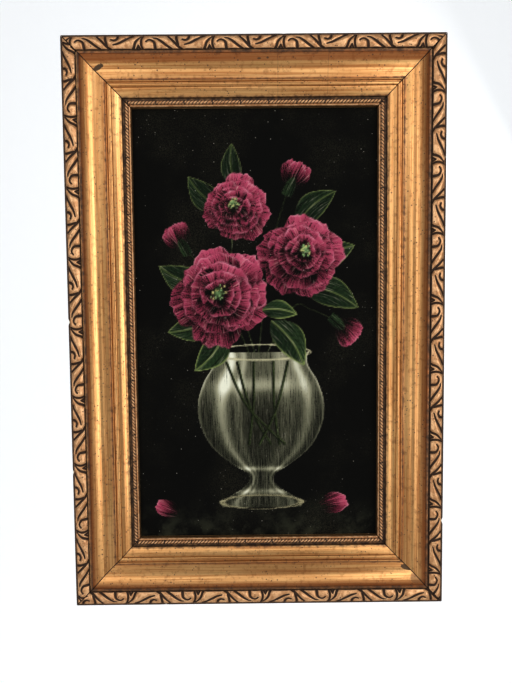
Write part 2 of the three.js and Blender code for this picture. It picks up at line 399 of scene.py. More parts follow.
def scroll_tile():
    """One repeat of the scroll as two maps over [along, inwards]: how deep it is cut, from 0 to 1,
    and how far, in millimetres, a point is from the nearest cut."""
    along = np.arange(0, scroll_pitch, TILE_STEP)
    inward = np.arange(-TILE_MARGIN, band.width + TILE_MARGIN, TILE_STEP)
    u, a = np.meshgrid(along, inward, indexing="ij")
    cut = np.zeros_like(u)
    away = np.full_like(u, TILE_FAR)
    for points, widths in strokes:
        line = spline([(x * scroll_pitch, y * band.width) for x, y in points], STROKE_SAMPLES)
        width = spline([(w, 0) for w in widths], STROKE_SAMPLES)[:, 0]
        for (x, y), w in zip(line, width):
            du = (u - x + scroll_pitch / 2) % scroll_pitch - scroll_pitch / 2
            distance = np.hypot(du, a - y)
            deepest = min(1.15, 0.55 + 0.5 * w)
            cut = np.maximum(cut, deepest * np.exp(-1.3 * (distance / (1.02 * w)) ** 2))
            away = np.minimum(away, distance - 0.65 * w)
    return cut, away


cut_tile, away_tile = scroll_tile()


def from_tile(tile, along, inward):
    """Reads a map of the scroll between its points."""
    x = (along % scroll_pitch) / TILE_STEP
    y = np.clip((inward - nose.width + TILE_MARGIN) / TILE_STEP, 0, tile.shape[1] - 1.001)
    i, j = x.astype(int) % tile.shape[0], y.astype(int)
    fx, fy = x - x.astype(int), y - j
    k = (i + 1) % tile.shape[0]
    low = tile[i, j] * (1 - fy) + tile[i, j + 1] * fy
    high = tile[k, j] * (1 - fy) + tile[k, j + 1] * fy
    return low * (1 - fx) + high * fx


# How far apart a rail's cross-sections stand, how far from each end the mitre's dark line reaches, both
# in millimetres, and how many times a length that carries relief is cut again
COARSE_STEP = 3.6
MITRE_LINE = 0.7
FINE_CUTS = 7


def swept_rail(length):
    """The section swept along X from 0 to 1, with finer steps where it carries relief."""
    bm = bmesh.new()
    ring = [bm.verts.new((0, -inward, height)) for inward, height in outline]
    edges = [bm.edges.new((ring[i], ring[(i + 1) % len(ring)])) for i in range(len(ring))]
    steps = round(length / COARSE_STEP)
    bmesh.ops.spin(bm, geom=ring + edges, axis=(1, 0, 0), dvec=(1 / steps, 0, 0), angle=0, steps=steps)
    ends = [e for e in bm.edges if e.is_boundary]
    bmesh.ops.holes_fill(bm, edges=ends)
    for near_end in (MITRE_LINE / length, 1 - MITRE_LINE / length):
        geom = [*bm.verts, *bm.edges, *bm.faces]
        bmesh.ops.bisect_plane(bm, geom=geom, plane_co=(near_end, 0, 0), plane_no=(1, 0, 0))
    fine = {(round(inward, 4), round(height, 4)) for first, last in (band_columns, rope_columns)
            for inward, height in outline[first:last + 1]}
    lengthwise = []
    for edge in bm.edges:
        p, q = (v.co for v in edge.verts)
        if abs(p.x - q.x) > 1e-6 and (round(-p.y, 4), round(p.z, 4)) in fine:
            lengthwise.append(edge)
    bmesh.ops.subdivide_edges(bm, edges=lengthwise, cuts=FINE_CUTS)
    bmesh.ops.recalc_face_normals(bm, faces=bm.faces)
    return bm


WAVES = 6


def rough_waves(along, inward, seed):
    """Slow, shallow unevenness of a hand-finished surface, in millimetres."""
    rng = np.random.default_rng(seed)
    total = np.zeros_like(along)
    for _ in range(WAVES):
        wave = rng.uniform(15, 60)
        lean = rng.uniform(-0.6, 0.6)
        total += np.sin(2 * np.pi * (along + lean * inward) / wave + rng.uniform(0, 6.28))
    return total / WAVES


# Marks in the gilding: fine cracks across the top rail, in millimetres along it, and scuffs, each with
# its rail, its place along it and inwards, its reach both ways, its slant and how strong it is
cracks = [224.6, 277.4]
scuffs = [("top", 36, 30, 6.5, 2.6, 0.5, 0.95), ("bottom", 37, 35, 6.5, 2.8, -0.2, 0.9),
          ("bottom", 26, 24.5, 8, 5, 0, 0.4), ("top", 205, 23, 2.2, 0.9, 0, 0.8),
          ("top", 214, 22.5, 1.3, 0.8, 0, 0.8)]

# Nicks knocked out of the nose: rail, place along it, reach along it and depth, in millimetres
nicks = [("left", 311, 3.5, 1.1), ("right", 515, 4.0, 1.2), ("right", 128, 2.2, 0.6),
         ("top", 232, 2.5, 0.5), ("left", 148, 2.0, 0.5), ("bottom", 301, 2.4, 0.6)]

# Soft dark lines along the moulding's hollows: dirt in the groove, along the bead and in the quirk, a darker
# line under the fillet and at the rope's foot, and painted shade along the lip's edge above the recess. For
# each: where it lies inwards from the outer edge and its half width, in millimetres, and how strong it is
dirt_and_shade_lines = dict(groove=(14.7, 0.5, 0.85), cove_top=(19.4, 1.5, 0.36), bead=(41.6, 1.7, 0.56),
                  quirk=(45.1, 0.6, 0.25), lip_edge_shade=(58.4, 2.2, 0.5), rope_foot=(65.7, 0.35, 0.15))

# Broader dirt: where it begins and is full, where it starts to fade and ends, and how strong it is
dirt_bands = dict(fillet=(15.9, 16.5, 18.2, 19.4, 0.6), recess=(58.0, 58.8, 61.2, 62.0, 0.66))

# How dirty the groove beside the scroll band is on each rail
groove_dirt = dict(top=0.58, right=0.72, bottom=0.5, left=0.42)

# How far inwards the brown glaze in the scoop's outer part reaches on each rail, in millimetres; on the top
# rail it reaches further as painted shade of the scoop, which faces down there
glaze_and_top_shade_reach = dict(top=38.0, right=25.0, bottom=24.0, left=23.0)

# The height above the rail's back from which a point belongs to its face, and how far apart the rails'
# stretches of the finish stand, in millimetres
FACE_FROM = 20
RAIL_APART = 1000


def between(values, begin, full, fade, end):
    """1 from full to fade, falling to 0 at begin and at end."""
    return smooth(values, begin, full) * (1 - smooth(values, fade, end))


def scroll_relief(name, along, inward, front):
    """A rail's scroll band: which points are on it and how fully, how deep they are cut, how far off the
    nearest cut is, and how far they are lifted."""
    band_end = nose.width + band.width
    on_band = front & (inward > nose.width - 1.0) & (inward < band_end + 0.3)
    reach = between(inward, nose.width - 0.8, nose.width + 0.5, band_end - 0.3, band_end + 0.3)
    cut = np.where(on_band, from_tile(cut_tile, along - first_bud[name], inward), 0)
    away = from_tile(away_tile, along - first_bud[name], inward)
    pillow = np.where(on_band, pillow_rise * smooth(away, 0.1, 3.2), 0)
    lift = reach * (pillow - pillow_rise - 0.1) - reach * (scroll_depth * cut)
    return on_band, reach, cut, away, lift


def rope_relief(along, inward, height):
    """A rail's rope bead: which points are on it, its strands, its breaks and how deep they go."""
    across = (inward - rope_start) / rope.width
    on_rope = (across > 0.001) & (across < 0.999) & (height > FACE_FROM)
    turn = (along + rope.lean * (inward - rope_start)) / rope.pitch
    strand = np.abs(np.sin(np.pi * turn)) ** 0.55
    pitch = rope.notch_pitch
    notch = 1 - smooth(np.abs((along + pitch / 3) % pitch - pitch / 2), 0.25, 0.8)
    round_top = np.sqrt(np.clip(4 * across * (1 - across), 0, 1))
    flute = np.where(on_rope, round_top * (rope.flute * (1 - strand) + 0.5 * notch), 0)
    return on_rope, strand, notch, flute


def stood_up(index, along, inward, height):
    """A rail's points in the frame's place, in metres, from their places along and across the rail."""
    turn_by = -index * pi / 2
    cosine, sine = cos(turn_by), sin(turn_by)
    right, up = [(-1, 1), (1, 1), (1, -1), (-1, -1)][index]
    x = middle_x + right * frame_width / 2 + cosine * along + sine * inward
    z = middle_z + up * frame_height / 2 + sine * along - cosine * inward
    return np.stack([x, back_y - height, z], axis=1) * MM


def rail_mesh(name, material):
    """A rail: the section swept along it, with its relief, and the marks that its finish reads."""
    index = SIDES.index(name)
    length = frame_height if index % 2 else frame_width
    piece = finished(swept_rail(length), f"gilt_rail_{name}", material, [f"rail_{name}"])
    mesh = piece.data
    share, minus_inward, height = points_of(mesh).T
    inward = -minus_inward
    end = inward + mitre_gap * sqrt(2)
    along = end + share * (length - 2 * end)
    front = height > rail_depth - side.top_fall

    on_band, reach, cut, away, lift = scroll_relief(name, along, inward, front)
    height += lift
    on_rope, strand, notch, flute = rope_relief(along, inward, height)
    height -= flute
    chipped = np.zeros_like(height)
    for rail, place, spread, deep in nicks:
        if rail == name:
            near = np.exp(-((along - place) / spread * 1.7) ** 4) * (1 - smooth(inward, 0.5, 2.6)) * front
            inward += near * deep * 0.8
            height -= near * deep * 0.6
            chipped = np.maximum(chipped, near)
    wave = rough_waves(along, inward, 10 + index)
    height += np.where(front & (height > 25), 0.06 * wave, 0)
    mesh.vertices.foreach_set("co", stood_up(index, along, inward, height).ravel())
    mesh.update()

    on_face = height > FACE_FROM
    to_mitre = np.minimum(share, 1 - share) * length
    beyond = np.maximum(away, 0)
    by_cut = np.maximum(soft_line(beyond, 0, 0.42), 0.22 * soft_line(beyond, 0, 1.5)) * on_band * reach
    # Darkening in the hollows, at the nose and at the mitres: umber and dirt, with painted shade along the
    # lip's edge above the recess
    dirt_and_shade = [0.84 * cut * reach, by_cut,
            0.78 * (1 - smooth(inward, 1.6, 2.9)) * front,
            groove_dirt[name] * between(inward, 13.2, 14.3, 15.9, 16.9) * front,
            0.05 * smooth(inward, 66.3, 66.9) * (height > 16),
            np.where(on_rope, 1.15 * (1 - strand) + 0.9 * notch, 0),
            0.95 * (1 - smooth(to_mitre, 0.15, MITRE_LINE)) * on_face]
    dirt_and_shade += [level * soft_line(inward, centre, half) * on_face for centre, half, level in dirt_and_shade_lines.values()]
    dirt_and_shade += [level * between(inward, *ends) * on_face for *ends, level in dirt_bands.values()]
    # Painted highlights: lighter gold along each leaf's edge and over its crest, along the rope's strands and
    # at the sight edge
    leaf_edge_highlight = 1.5 * soft_line(away, 0.85, 0.32)
    leaf_highlight = np.where(on_band, reach * np.maximum(leaf_edge_highlight, smooth(away, 0.9, 2.6)), 0)
    sight_highlight = 1.3 * smooth(inward, 65.9, 66.3) * (height > 22.0)
    crest = np.maximum.reduce([leaf_highlight, on_rope * 0.8 * strand, sight_highlight])
    glazed = front * between(inward, 15.5, 17.5, 19.5, glaze_and_top_shade_reach[name])
    by_bead = soft_line(inward, *dirt_and_shade_lines["bead"][:2]) * on_face
    in_rebate = (inward > rebate_wall - 0.5) & (height < FACE_FROM) & (inward < sight_edge + 1)
    bare = np.maximum(1 - smooth(height, 0.2, 0.8), in_rebate)
    bare = np.where((inward > sight_edge - 0.01) & (height > 17.5), 0, bare)
    outer = (inward < side.set_back + 0.1) & (height < rail_depth - side.top_fall + 1.5)
    lay = np.stack([along + RAIL_APART * index, inward, height], axis=1) * MM
    washed = np.maximum(on_band, smooth(inward, 60, 61.5) * on_face)
    give(mesh, hollow=np.maximum.reduce(dirt_and_shade), washed=washed, crest=crest,
         glazed=np.maximum(glazed, 0.7 * by_bead), bare_wood=bare, outer_wall=outer, chipped=chipped, lay=lay)
    mesh.set_sharp_from_angle(angle=radians(38))


# The picture, painted point by point on the cloth's own mesh. BRUSH_EDGE is how a stroke's edge fades, and
# GRAIN_SHIFT how far apart two strokes' grain is, both in millimetres.
BRUSH_EDGE = (-0.4, 0.9)
GRAIN_SHIFT = 31.0


def tint(*levels):
    """A screen colour as three linear values."""
    return np.array(paint(*levels)[:3])


class Canvas:
    """Paint on the cloth at its mesh's points: colour, how fully it covers, and the brush's heading."""

    def __init__(self, x, z):
        self.x, self.z = x, z
        self.tone = np.tile(tint(58, 56, 44), (len(x), 1))
        self.cover = np.zeros(len(x))
        self.grain = np.stack([z, x, np.zeros(len(x))], axis=1)

    def lay(self, inside, tone, cover, along, across, seed):
        """Paints where inside, in millimetres, is above 0. A tone is one colour or one a point."""
        alpha = smooth(inside, *BRUSH_EDGE)
        tone = np.broadcast_to(np.asarray(tone, dtype=float), self.tone.shape)
        self.tone += alpha[:, None] * (tone - self.tone)
        self.cover += alpha * (cover - self.cover)
        new = np.stack(np.broadcast_arrays(along, across, np.full(len(self.x), GRAIN_SHIFT * seed)), axis=1)
        self.grain = np.where((alpha > 0.5)[:, None], new, self.grain)

    def turned(self, x, z, angle):
        """Distances from a point along and across a heading, in degrees from the right."""
        cosine, sine = cos(radians(angle)), sin(radians(angle))
        dx, dz = self.x - x, self.z - z
        return dx * cosine + dz * sine, -dx * sine + dz * cosine


def blend_tones(shares, tones):
    """Colours along a row of tones, at shares from 0 to 1."""
    tones = np.array([tint(*tone) for tone in tones])
    at = np.clip(shares, 0, 1) * (len(tones) - 1)
    low = np.minimum(at.astype(int), len(tones) - 2)
    part = (at - low)[:, None]
    return tones[low] * (1 - part) + tones[low + 1] * part


petal_tones = [(32, 13, 20), (88, 34, 50), (150, 68, 90), (186, 92, 118), (208, 132, 152)]
petal_rim = tint(216, 164, 176)
leaf_tones = [(20, 30, 20), (36, 52, 35), (58, 78, 50), (104, 124, 78)]
leaf_rim = tint(158, 170, 110)
stem_greens = [(22, 30, 19), (48, 62, 36), (104, 120, 70)]
heart_tones = [(120, 146, 104), (84, 102, 68), (30, 28, 22)]
glass_tones = [(34, 36, 29), (70, 71, 58), (112, 112, 94), (172, 170, 148), (226, 226, 210)]


def petal(canvas, x, z, heading, reach, half_width, lit, seed):
    """One petal from a blossom's middle outwards, with a rounded, wavy edge and a shaded root."""
    out, side_way = canvas.turned(x, z, heading)
    bend = 0.12 * half_width * sin(seed * 7)
    side_way = side_way + bend * np.sin(np.pi * np.clip(out / reach, 0, 1))
    u, v = out / reach, side_way / half_width
    turn = np.arctan2(v, u - 0.5)
    wave = 1 + 0.05 * np.sin(4 * turn + seed) + 0.035 * np.sin(9 * turn + 2.3 * seed)
    away = np.hypot((u - 0.58) / 0.42, v) * wave
    inside = (1 - away) * min(0.42 * reach, half_width)
    rise = np.clip((u - 0.2) / 0.78, 0, 1)
    fold = 0.10 * np.sin(v * 5.0 + seed) * (1 - 0.5 * rise)
    shade = 0.02 + 0.66 * rise**1.15 + 0.14 * lit * v + 0.14 * lit + fold
    tone = blend_tones(shade, petal_tones)
    patchy = 0.5 + 0.5 * np.sin(turn * 3 + seed * 5)
    rim = soft_line(inside, 0.7, 0.9) * smooth(u, 0.5, 0.9) * (0.25 + 0.5 * max(lit, 0)) * patchy
    tone = tone + rim[:, None] * (petal_rim - tone)
    cover = 0.26 + 0.5 * rise + 0.3 * rim + 0.1 * lit
    angle = np.arctan2(side_way, np.maximum(out + 0.35 * reach, 1.0)) * reach
    canvas.lay(inside, tone, cover, out, angle, seed)


# A blossom's rings from the outermost: reach as a share, number of petals, and how broad they are
blossom_rings = [(1.0, 8, 1.02), (0.84, 7, 1.05), (0.64, 6, 1.1), (0.44, 4, 1.0), (0.27, 3, 0.95)]


def blossom(canvas, x, z, reach, seed, lean):
    """A full blossom: rings of rounded petals, painted from the outermost to the heart."""
    rng = np.random.default_rng(seed)
    start = rng.uniform(0, 360)
    for ring, (share, count, breadth) in enumerate(blossom_rings):
        cx = x + lean[0] * reach * (1 - share)
        cz = z + lean[1] * reach * (1 - share)
        for i in rng.permutation(count):
            heading = start + 360 * (i + 0.47 * ring) / count + rng.uniform(-13, 13)
            lit = cos(radians(heading - 60)) * 0.9
            length = reach * share * rng.uniform(0.84, 1.06)
            half = reach * share * sin(pi / count) * breadth * rng.uniform(0.95, 1.25)
            petal(canvas, cx, cz, heading, length, half, lit, rng.uniform(0, 9))
    x, z = x + lean[0] * reach, z + lean[1] * reach
    away = np.hypot(canvas.x - x, canvas.z - z)
    heart = reach * 0.13
    tone = blend_tones(smooth(away, 0, heart), heart_tones)
    canvas.lay(heart - away, tone, 0.7, canvas.x, canvas.z, seed)
    for _ in range(22):
        turn, far = rng.uniform(0, 6.28), heart * rng.uniform(0.3, 1.35)
        dx, dz = canvas.x - x - far * cos(turn), canvas.z - z - far * sin(turn)
        dot = tint(150, 178, 128) if rng.uniform() < 0.6 else tint(204, 196, 140)
        canvas.lay(rng.uniform(0.9, 1.5) - np.hypot(dx, dz), dot, 0.8, canvas.x, canvas.z, seed)


def bud(canvas, x, z, heading, length, seed):
    """A closed bud: three lapped petals in a green cup."""
    for lean in (-18, 18, 0):
        petal(canvas, x, z, heading + lean, length, length * 0.3, 0.4 - abs(lean) / 60, seed + lean)
    out, side_way = canvas.turned(x, z, heading)
    cup = length * 0.2 * np.sqrt(np.clip(1 - (out / (length * 0.45)) ** 2, 0, 1)) - np.abs(side_way)
    tone = blend_tones(0.5 + side_way / length, leaf_tones)
    canvas.lay(np.where(out > -length * 0.2, cup, -1), tone, 0.6, out, side_way, seed)


def leaf(canvas, x, z, heading, length, half_width, seed, lit):
    """An oval leaf from its stalk to its point, with a pale edge and midrib."""
    out, side_way = canvas.turned(x, z, heading)
    side_way = side_way - 0.08 * length * np.sin(np.pi * np.clip(out / length, 0, 1))
    t = np.clip(out / length, 0.0001, 0.9999)
    half = half_width * np.sin(np.pi * t ** 0.82) ** 0.85
    inside = np.where((out > 0) & (out < length), half - np.abs(side_way), -2.0)
    veins = 0.5 + 0.5 * np.sin((out - 0.9 * np.abs(side_way)) * 2 * np.pi / (length * 0.1))
    shade = 0.18 + 0.34 * t * lit + 0.2 * veins * lit + 0.18 * (side_way > 0) * lit
    tone = blend_tones(shade, leaf_tones)
    edge = soft_line(inside, 0.8, 0.9) * smooth(t, 0.15, 0.6) * lit
    rib = soft_line(side_way, 0, 0.8) * 0.7
    tone = tone + np.maximum(edge, rib * lit)[:, None] * (leaf_rim - tone)
    cover = 0.62 + 0.2 * lit + 0.35 * np.maximum(edge, rib)
    canvas.lay(inside, tone, cover, out - 0.9 * np.abs(side_way), side_way, seed)


def stem(canvas, points, half_width, cover, seed):
    """A stem through the given points, lit along its upper side."""
    line = spline(points, 60)
    gap = np.full(len(canvas.x), 99.0)
    side_way = np.zeros(len(canvas.x))
    run = np.zeros(len(canvas.x))
    far = 0.0
    for start, end in zip(line[:-1], line[1:]):
        step = end - start
        size = hypot(*step)
        dx, dz = canvas.x - start[0], canvas.z - start[1]
        along = np.clip((dx * step[0] + dz * step[1]) / size**2, 0, 1)
        away = np.hypot(dx - along * step[0], dz - along * step[1])
        nearer = away < gap
        gap = np.where(nearer, away, gap)
        side_way = np.where(nearer, (step[0] * dz - step[1] * dx) / size, side_way)
        run = np.where(nearer, far + along * size, run)
        far += size
    tone = blend_tones(0.5 + 0.5 * side_way / half_width, stem_greens)
    canvas.lay(half_width - gap, tone, cover, run, side_way, seed)


# The goblet: its middle, and its outline as levels with the radius at each
goblet_x = 4.0
goblet_levels = [-204, -198, -191, -183, -175, -166, -154, -136, -112, -86, -62, -45, -34, -28]
goblet_radii = [45, 45, 36, 23, 15, 16, 34, 55, 68, 71, 64, 54, 52, 55]
goblet_rim = Sizes(level=-29, reach=55, height=8.5, tone=tint(198, 193, 163))
goblet_foot = Sizes(level=-198, reach=45, height=8.0, tone=tint(170, 164, 134))

# The upright lights on the glass: where each lies as a share of the radius, its half width and strength
goblet_lights = [(-0.62, 0.12, 0.55), (-0.36, 0.07, 0.3), (0.74, 0.1, 0.42), (0.42, 0.16, 0.22)]

# The stems seen through the glass: how far each is from the goblet's middle at its top and at its foot
stems_inside = [(-26, 10), (-8, -14), (14, 20), (30, -2), (-38, 26)]


def goblet(canvas):
    """A footed glass goblet: upright streaks of light on smoky glass, with stems seen inside it."""
    level = canvas.z
    wall = spline(list(zip(goblet_levels, goblet_radii)), 160)
    radius = np.interp(level, wall[:, 0], wall[:, 1])
    x = canvas.x - goblet_x
    share = x / radius
    inside = np.where((level > goblet_levels[0]) & (level < goblet_levels[-1]), radius - np.abs(x), -2.0)
    light = 0.26 + sum(strong * soft_line(share, *line) for *line, strong in goblet_lights)
    light += 0.35 * soft_line(np.abs(share), 0.985, 0.03)
    light *= 0.75 + 0.25 * smooth(level, -120, -60)
    light += 0.35 * soft_line(level, -66, 9) * soft_line(share, -0.1, 0.75)
    light += 0.4 * soft_line(level, -160, 3.0) + 0.35 * soft_line(level, -186, 3.5)
    light += 0.2 * smooth(level, -100, -40)
    cover = 0.54 + 0.46 * light
    canvas.lay(inside, blend_tones(light, glass_tones), cover, level, x * 1.6, 3.0)
    for i, (top, foot) in enumerate(stems_inside):
        bend = (goblet_x + top * 0.6 + foot * 0.3, -90)
        points = [(goblet_x + top, -40), bend, (goblet_x + foot, -132)]
        stem(canvas, points, 1.7, 0.52, 4.0 + i)
    ring = np.hypot(x / goblet_rim.reach, (level - goblet_rim.level) / goblet_rim.height)
    thin = np.where(np.abs(x) > 49, 30, 11)
    canvas.lay(1.4 - np.abs(ring - 1) * thin, goblet_rim.tone, 0.8, x, level, 8.0)
    ring = np.hypot(x / goblet_foot.reach, (level - goblet_foot.level) / goblet_foot.height)
    canvas.lay(1.2 - np.abs(ring - 1) * 11, goblet_foot.tone, 0.66, x, level, 9.0)


# What stands in the picture, in millimetres from its middle: stems as (points, half width, seed), leaves as
# (x, z, heading, length, half width, seed, light), and buds as (x, z, heading, length, seed)
back_stems = [([(-4, -40), (-40, 40), (-76, 84)], 1.3, 11),
              ([(8, -36), (40, 20), (60, 18), (86, 6)], 1.2, 12),
              ([(2, -30), (16, 80), (36, 150)], 1.3, 13),
              ([(-2, -30), (-26, 60), (-22, 120)], 1.4, 14)]
back_leaves = [(-50, 44, 158, 62, 17, 21, 0.5), (56, 60, 28, 60, 17, 22, 0.55),
               (-34, 128, 138, 54, 15, 23, 0.4), (44, 110, 40, 58, 15, 24, 0.45),
               (-20, 150, 96, 50, 12, 25, 0.35), (-44, 12, 198, 58, 16, 26, 0.6),
               (52, 44, 338, 66, 17, 27, 0.6)]
buds = [(36, 148, 66, 34, 31), (-77, 84, 118, 32, 32), (86, 6, 318, 34, 33)]


def still_life(canvas):
    """Blossoms, buds and leaves in a goblet on black, with two fallen petals."""
    for points, half_width, seed in back_stems:
        stem(canvas, points, half_width, 0.6, seed)
    for placed in back_leaves:
        leaf(canvas, *placed)
    for placed in buds:
        bud(canvas, *placed)
    blossom(canvas, -22, 128, 38, 41, (-0.05, 0.16))
    blossom(canvas, 48, 78, 47, 42, (0.12, 0.12))
    goblet(canvas)
    leaf(canvas, 16, 6, 306, 62, 17, 28, 0.8)
    leaf(canvas, -34, -4, 232, 58, 16, 29, 0.8)
    blossom(canvas, -36, 34, 57, 43, (-0.1, 0.06))
    leaf(canvas, 6, 18, 352, 40, 11, 30, 0.9)
    petal(canvas, 62, -206, 12, 40, 13, 0.7, 51)
    petal(canvas, -84, -212, 158, 34, 11, 0.4, 52)


# The cloth's size and its bars' backs, read from the frame, how it is turned over behind the bars, and its
# mesh's step
canvas_low, canvas_high = node_box("painted_canvas")
canvas_width, _, canvas_height = canvas_high - canvas_low
cloth_thick = canvas_high[1] - canvas_low[1]
bar_back = node_box("stretcher_left")[1][1]
flap_width = 22.0
cloth_gap = 0.3
CANVAS_STEP = 1.3


def painted_cloth(material):
    """The cloth: its painted front, its sides, and its edges turned over behind the bars."""
    front_y, back_face_y = canvas_low[1], canvas_high[1]
    across, _, up = (canvas_low + canvas_high) / 2
    centre = Vector((across, front_y, up))
    upright = STAND_UP @ Matrix.Diagonal((canvas_width, canvas_height, 1, 1))
    bm = bmesh.new()
    bmesh.ops.create_grid(bm, x_segments=round(canvas_width / CANVAS_STEP),
                          y_segments=round(canvas_height / CANVAS_STEP), size=0.5)
    bmesh.ops.transform(bm, matrix=Matrix.Translation(centre) @ upright, verts=bm.verts)

    def carry(rim, depth, inset):
        """Extrudes the open edge to a new depth and a new inset from the cloth's outline."""
        made = bmesh.ops.extrude_edge_only(bm, edges=rim)["geom"]
        verts = [g for g in made if isinstance(g, bmesh.types.BMVert)]
        half_x = max(abs(v.co.x - centre.x) for v in verts)
        half_z = max(abs(v.co.z - centre.z) for v in verts)
        for v in verts:
            v.co.x = centre.x + (v.co.x - centre.x) * (canvas_width / 2 - inset) / half_x
            v.co.z = centre.z + (v.co.z - centre.z) * (canvas_height / 2 - inset) / half_z
            v.co.y = depth
        return [g for g in made if isinstance(g, bmesh.types.BMEdge)]

    flap_front = bar_back + cloth_gap
    flap_back = flap_front + cloth_thick
    rim = [e for e in bm.edges if e.is_boundary]
    for depth, inset in [(front_y + 0.25, 0), ((front_y + flap_front) / 2, 0), (flap_back, 0), (flap_back, 5),
                         (flap_back, flap_width), (flap_front, flap_width), (flap_front, cloth_thick),
                         (back_face_y, cloth_thick)]:
        rim = carry(rim, depth, inset)
    bmesh.ops.holes_fill(bm, edges=rim)
    bmesh.ops.recalc_face_normals(bm, faces=bm.faces)
    bmesh.ops.scale(bm, vec=(MM, MM, MM), verts=bm.verts)
    piece = finished(bm, "picture_cloth", material, ["painted_canvas"])
    piece.data.set_sharp_from_angle(angle=radians(35))

    points = points_of(piece.data) / MM
    canvas = Canvas(points[:, 0] - centre.x, points[:, 2] - centre.z)
    still_life(canvas)
    front = points[:, 1] < front_y + 0.2
    tone = np.concatenate([canvas.tone, np.ones((len(points), 1))], axis=1)
    give(piece.data, cover=np.where(front, canvas.cover, -1.0), bare_back=1.0 - front, tone=tone,
         grain=canvas.grain * MM)

    # Flat, the cloth is its face, its sides down the bars' depth and its turned-over edges
    around = 2 * (canvas_width + canvas_height)
    sides = around * (flap_back - front_y)
    flaps = around * flap_width - 4 * flap_width**2
    drop = 2 * (flap_back - front_y + flap_width)
    area = (canvas_width * canvas_height + sides + flaps) * MM * MM
    flat = ((canvas_width + drop) * MM, (canvas_height + drop) * MM)


# Finishes
def mark(finish, lay, rail, along, inward, reach_along, reach_inward, tilt, strength, ragged):
    """A ragged round mark on a rail's front, given in millimetres in from its left end."""
    length = finish.split(lay, 0) - (along + RAIL_APART * SIDES.index(rail)) * MM
    across = (finish.split(lay, 1) - inward * MM + length * tilt) * (1 / (reach_inward * MM))
    length = length * (1 / (reach_along * MM))
    return (across * across + length * length + (ragged - 0.5) * 2.6).ramp(1.05, 0.7) * strength


def antique_gilt():
    """Worn leaf over composition: gold with painted highlights on the crests, brown glaze with painted shade
    further down the top rail's scoop, umber in the hollows with painted shade by the lip's edge, and bare
    wood behind.
    """
    finish = Finish("antique_gilt_finish")
    mix, streaks = finish.mix, finish.streaks
    place = finish.place()
    lay = finish.attribute("lay", "Vector")
    marks = ["hollow", "washed", "crest", "glazed", "bare_wood", "outer_wall", "chipped"]
    hollow, washed, crest, glazed, bare, wall, chipped = map(finish.attribute, marks)
    cloudy = streaks(lay, (9, 60, 60))
    mottle = finish.noise(place, 190, 4, 0.6)
    fine = finish.noise(place, 900, 2, 0.6)
    drag = streaks(lay, (7, 620, 620), 3, 0.62)

    gold = mix(cloudy.ramp(0.35, 0.65), paint(205, 161, 109), paint(221, 180, 127))
    olive = streaks(lay, (16, 90, 90)).ramp(0.5, 0.72)
    gold = mix(olive * 0.22, gold, paint(184, 160, 102))
    gold = mix(drag.ramp(0.44, 0.66) * 0.75, gold, paint(174, 118, 64))
    gold = mix(mottle.ramp(0.5, 0.72) * 0.5, gold, paint(144, 100, 58))
    # Brown glaze in the scoop's outer part, reaching further on the top rail as painted shade
    gold = mix(glazed * 0.65, gold, paint(158, 90, 38))
    gold = mix(washed * 0.8, gold, paint(186, 144, 107))
    # Painted highlight on the leaves' crests and edges, the rope's strands and the sight edge
    gold = mix(crest * mottle.ramp(0.38, 0.6) * 0.7, gold, paint(236, 198, 156))
    shade = hollow * 1.1 + (mottle - 0.5) * 0.8 + (cloudy - 0.5) * 0.35 + washed * 0.1
    patina_and_shade = shade.ramp(0.25, 0.88)
    small_spots = finish.specks(place, 260, 0.24) * finish.noise(place, 60, 2).ramp(0.44, 0.56)
    large_spots = finish.specks(place, 80, 0.09) * mottle.ramp(0.35, 0.5)
    spots = small_spots.at_least(large_spots)
    for along in cracks:
        crack = (finish.split(lay, 0) + (mottle - 0.5) * 0.0016 - along * MM).near(0, 0.0003)
        spots = spots.at_least(crack * 0.8)
    umber = patina_and_shade.at_least(spots * 0.85)
    base = mix(umber, gold, paint(76, 57, 44))
    scuffed = mark(finish, lay, *scuffs[0], mottle)
    for scuff in scuffs[1:]:
        scuffed = scuffed.at_least(mark(finish, lay, *scuff, mottle))
    base = mix(scuffed, base, paint(84, 65, 45))

    grain = streaks(lay, (10, 500, 500))
    wood = mix(grain.ramp(0.35, 0.7), paint(196, 160, 112), paint(150, 112, 70))
    stain = streaks(lay, (22, 90, 90), 5, 0.65)
    ochre = mix(stain.ramp(0.35, 0.7), paint(158, 116, 64), paint(116, 80, 44))
    base = mix(wall * (1 - umber * 0.5), base, ochre)
    base = mix(chipped.ramp(0.3, 0.7), base, paint(214, 200, 176))
    base = mix(bare, base, wood)
    dull = bare.at_least(chipped).at_least(wall * 0.6).at_least(scuffed * 0.8)
    gloss = (1 - umber) * (1 - dull)
    metallic = gloss * (0.85 - washed * 0.3)
    rough = 0.24 + mottle * 0.12 + umber * 0.25 + dull * 0.3 + washed * 0.1
    height = fine * 0.25 + mottle * 0.5 + drag * 0.3 + grain * bare
    normal = finish.bump(height, 0.00022, 0.6)
    return finish.shade(
        Base_Color=base, Metallic=metallic, Roughness=rough.at_most(0.9),
        Coat_Weight=gloss * (0.6 - washed * 0.3), Coat_Roughness=0.22, Normal=normal)


